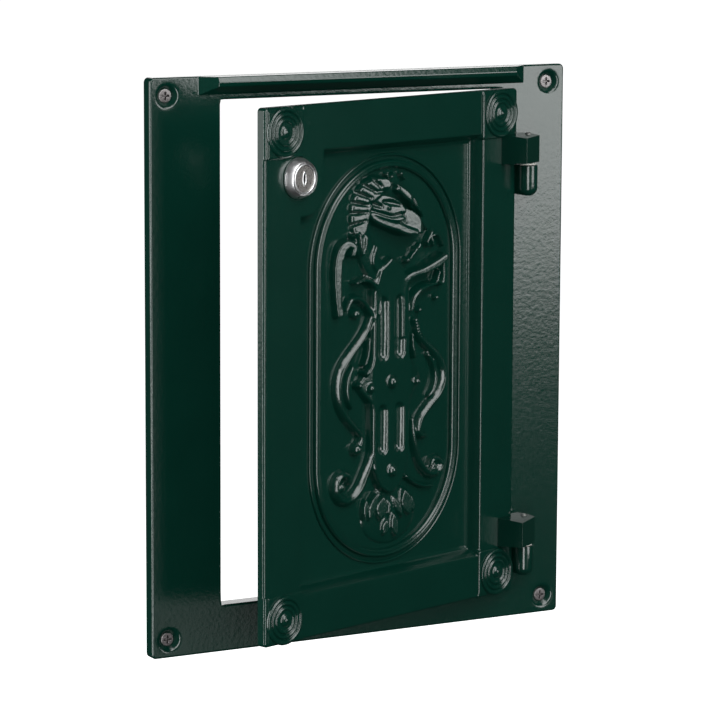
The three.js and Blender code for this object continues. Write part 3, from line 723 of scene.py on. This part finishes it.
hollow([(92, 247.6, 0.6), (99, 245.4, 0.9), (107, 243, 1), (113, 243.6, 1.3), (118, 243.4, 1.2)], 1.6)
hollow([(116.6, 243, 1.3), (118.2, 239.6, 1.7)], 1.3)
slab([
    (90.6, 246.2, 1.4), (97.6, 242.2, 3), (105, 239, 3.2), (112.8, 236.4, 3.2), (120, 233.4, 3), (126.5, 232, 2)
], 90, 4.2, 0.19)
band([(93.8, 242, 0.6), (99, 239.6, 1), (104.4, 237.8, 0.6)], 5.4)
band([(114.4, 234.4, 0.7), (118, 232.6, 1.2), (122.2, 230.2, 0.7)], 5.4)
band([(128, 231.4, 0.8), (130, 233.8, 0.9), (133.4, 234.4, 0.9), (135.2, 232, 0.7)], 7)
leaf(123, 254.6, 2.3, 10.5, 46, 6.8)
band([(116, 258.4, 0.9), (128.8, 246.8, 1), (134.2, 240.4, 1), (143, 232, 0.9)], 4.8)
band([(131.6, 251.4, 0.8), (134.6, 245.6, 1.2), (140, 240, 0.7)], 4.4)
for rows in (
    [(78.4, 233.6, 1), (79.8, 227.5, 1.4), (82.8, 220.6, 0.8)], [(82.6, 234, 1.6), (84, 228, 2.2), (84.8, 222, 0.9)],
    [(88.4, 232, 1.6), (87.6, 226.5, 1.6), (86, 221.6, 0.8)],
    [(97.4, 226, 0.9), (94.4, 220.4, 1.9), (94.6, 215.6, 1.7), (97.4, 211, 0.8)],
):
    band(rows, 6.2)

# one pass of softening, as sand casting and paint give
for axis in (0, 1):
    relief = 0.25 * np.roll(relief, 1, axis) + 0.5 * relief + 0.25 * np.roll(relief, -1, axis)
shown_cells = np.maximum.reduce([relief[:-1, :-1], relief[1:, :-1], relief[:-1, 1:], relief[1:, 1:]]) > -0.35
relief_points, relief_faces = casting(relief_s, relief_v, -relief, np.full_like(relief, 1.4), shown_cells)
relief_points = hung(relief_points[:, 0], relief_points[:, 2], PANEL - relief_points[:, 1])
door_relief = piece("door_relief", relief_points, relief_faces, moss_green, "door", "powder_coat")
by_angle(door_relief, 89)


# ---- hinge ----
# Each knuckle turns on a zinc plated pin that is pushed down through it into the blind bore of the bearing, with a
# nylon washer between the two. Pins and washers keep their CAD shape and get their finish here.

def finish(material, *names):
    """Gives CAD nodes their material."""
    for name in names:
        for place in frame["nodes"][name].material_slots:
            place.material = material


bright_zinc = metal("bright_zinc", (0.46, 0.46, 0.45), 0.34)
nylon = powder_coat("white_nylon", (0.62, 0.61, 0.57), (0.55, 0.54, 0.5))
finish(bright_zinc, "hinge_pin_upper", "hinge_pin_lower")
finish(nylon, "hinge_washer_upper", "hinge_washer_lower")


# ---- lock ----
# Wafer cam lock: a die cast housing with a chromed rose, clamped on the door's flat by a nut, and a satin nickel
# plug in it that carries five brass wafers on coil springs and the cam. The rose is a cone, turned here with the
# threaded barrel behind it; the plug gets a rim and a lip round its keyhole, and the rest keeps its CAD shape.

LOCK_S, LOCK_V = 27.4, 271.4
BARREL_HALF_FLATS = 6.5


def outward(points, faces):
    """The faces, turned over if the shell they close is inside out: its volume is the sum over the quads of the
    triple products of their corners."""
    a, b, c, d = (points[faces[:, i]] for i in range(4))
    volume = np.einsum("ij,ij->", a, np.cross(b, c)) + np.einsum("ij,ij->", a, np.cross(c, d))
    return faces if volume > 0 else faces[:, ::-1]


def turned_ring(profile, flats=20.0, stretch=1.0):
    """A closed profile of rows (radius, depth behind the lock's flat) carried once round the lock's line, and
    drawn out upright by stretch. Behind the flat, its sides are cut off at plus and minus flats across."""
    radius, depth = np.array(profile).T[:, :, None]
    turn = np.linspace(0, 2 * np.pi, 97)[None, :-1]
    across = radius * np.cos(turn)
    across = np.where((depth > -0.2) & (radius < 8.1), np.clip(across, -flats, flats), across)
    points = hung(LOCK_S + across, LOCK_V + stretch * radius * np.sin(turn), RAIL - depth + 0 * across)
    faces = ring_faces(*points.shape[:2])
    points = points.reshape(-1, 3)
    return points, outward(points, faces)


chrome = metal("chrome_plate", (0.86, 0.87, 0.88), 0.3, grain=300, wear=0.06, bump=0.000004)
nickel = metal("satin_nickel", (0.42, 0.41, 0.39), 0.3, grain=1400)
thread = [(7.9 - 0.45 * (i % 2), 0.4 + 0.4 * i) for i in range(40)]
cone = [(9.62, -5.2), (9.66, -5.6), (9.8, -5.85), (10.05, -5.7), (11.8, -1.5), (12, -1.1), (12, -0.3), (11.8, -0.1)]
rose = [*cone, (8, -0.1), *thread, (7.2, 17.6), (5.6, 17.6), (5.6, -3.3), (9.6, -3.3)]
lock_rose = piece("lock_rose", *turned_ring(rose, BARREL_HALF_FLATS), chrome, "door", "chrome_plate")
by_angle(lock_rose, 50)
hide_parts("lock_housing")

# The plug's face has a round rim, and a raised lip round its keyhole.
around = np.linspace(0, 2 * math.pi, 17)[:-1]
piece(
    "plug_rim", *turned_ring([(8.2 + 0.52 * math.cos(a), -5.5 + 0.45 * math.sin(a)) for a in around]),
    chrome, "lock_barrel", "chrome_plate",
)
piece(
    "key_lip", *turned_ring([(1.25 + 0.3 * math.cos(a), -5.1 + 0.4 * math.sin(a)) for a in around], stretch=2.9),
    chrome, "lock_barrel", "chrome_plate",
)
finish(nickel, "lock_plug")
finish(bright_zinc, "lock_washer", "lock_nut", "lock_cam", "cam_washer", "cam_screw")
finish(metal("wafer_brass", (0.55, 0.38, 0.15), 0.32), *(f"lock_wafer_{i}" for i in range(1, 6)))
finish(metal("spring_steel", (0.36, 0.36, 0.38), 0.28), *(f"wafer_spring_{i}" for i in range(1, 6)))


# ---- studio ----
# A pale floor under the object, soft lights, and the camera.

def softbox(name, azimuth, elevation, distance, width, height, luminance, aim=(0, -0.02, 0)):
    """A rectangular lamp that faces the object, at azimuth and elevation degrees from its front."""
    a, e = math.radians(azimuth), math.radians(elevation)
    away = Vector((math.sin(a) * math.cos(e), -math.cos(a) * math.cos(e), math.sin(e)))
    lamp = bpy.data.lights.new(name, "AREA")
    lamp.shape = "RECTANGLE"
    lamp.size, lamp.size_y = width, height
    lamp.energy = luminance * math.pi * width * height
    made = bpy.data.objects.new(name, lamp)
    made.location = Vector(aim) + distance * away
    made.rotation_euler = away.to_track_quat("Z", "Y").to_euler()
    made.visible_camera = False
    bpy.context.scene.collection.objects.link(made)


softbox("key_box", 12, 46, 1.7, 1.2, 0.9, 6)
softbox("right_box", 35.7, 9.4, 1.85, 0.74, 1.0, 6.2)
softbox("front_box", -21, 4, 1.75, 0.5, 2.2, 8)
softbox("front_left_box", -84, 4, 1.75, 0.56, 2.2, 9)
softbox("low_front_box", 21, -6, 2.4, 0.4, 1.5, 0.8)
softbox("left_box", -111, 10, 2.2, 1.5, 1.4, 1.9)
softbox("back_box", 150, 11, 2.6, 2.2, 0.9, 1.7)

FLOOR_HALF, FLOOR_Z = 30, -0.62
floor_corners = [(FLOOR_HALF * x, FLOOR_HALF * y, FLOOR_Z) for x, y in ((-1, -1), (1, -1), (1, 1), (-1, 1))]
floor_mesh = bpy.data.meshes.new("floor")
floor_mesh.from_pydata(floor_corners, [], [(0, 1, 2, 3)])
pale = bpy.data.materials.new("pale_floor")
pale.use_nodes = True
pale_shader = pale.node_tree.nodes["Principled BSDF"]
pale_shader.inputs["Base Color"].default_value = (0.8, 0.8, 0.8, 1)
pale_shader.inputs["Emission Color"].default_value = (1, 1, 1, 1)
pale_shader.inputs["Emission Strength"].default_value = 1.05
floor_mesh.materials.append(pale)
floor = bpy.data.objects.new("floor", floor_mesh)
floor.visible_diffuse = floor.visible_glossy = floor.visible_shadow = False
bpy.context.scene.collection.objects.link(floor)

world = bpy.data.worlds.new("studio")
bpy.context.scene.world = world
world.use_nodes = True
sky = world.node_tree
sky.nodes["Background"].inputs["Color"].default_value = (1, 1, 1, 1)
sky.nodes["Background"].inputs["Strength"].default_value = 0.02
seen = sky.nodes.new("ShaderNodeBackground")
seen.inputs["Color"].default_value = (1, 1, 1, 1)
ray = sky.nodes.new("ShaderNodeLightPath")
pick = sky.nodes.new("ShaderNodeMixShader")
sky.links.new(ray.outputs["Is Camera Ray"], pick.inputs["Fac"])
sky.links.new(sky.nodes["Background"].outputs[0], pick.inputs[1])
sky.links.new(seen.outputs[0], pick.inputs[2])
sky.links.new(pick.outputs[0], sky.nodes["World Output"].inputs["Surface"])

AZIMUTH, ELEVATION, ROLL = math.radians(-29.08), math.radians(8.84), math.radians(0.25)
TARGET = Vector((-0.00152, -0.008, -0.00233))
DISTANCE = 2.1239
away = Vector((
    math.sin(AZIMUTH) * math.cos(ELEVATION),
    -math.cos(AZIMUTH) * math.cos(ELEVATION),
    math.sin(ELEVATION),
))
level_right = Vector((0, 0, 1)).cross(away).normalized()
camera_right = math.cos(ROLL) * level_right + math.sin(ROLL) * away.cross(level_right)
axes = Matrix((camera_right, away.cross(camera_right), away)).transposed()
lens = bpy.data.cameras.new("camera")
lens.lens, lens.sensor_width = 175.58, 36
camera = bpy.data.objects.new("camera", lens)
bpy.context.scene.collection.objects.link(camera)
camera.matrix_world = Matrix.Translation(TARGET + DISTANCE * away) @ axes.to_4x4()
bpy.context.scene.camera = camera

bpy.context.scene.view_settings.view_transform = "Standard"
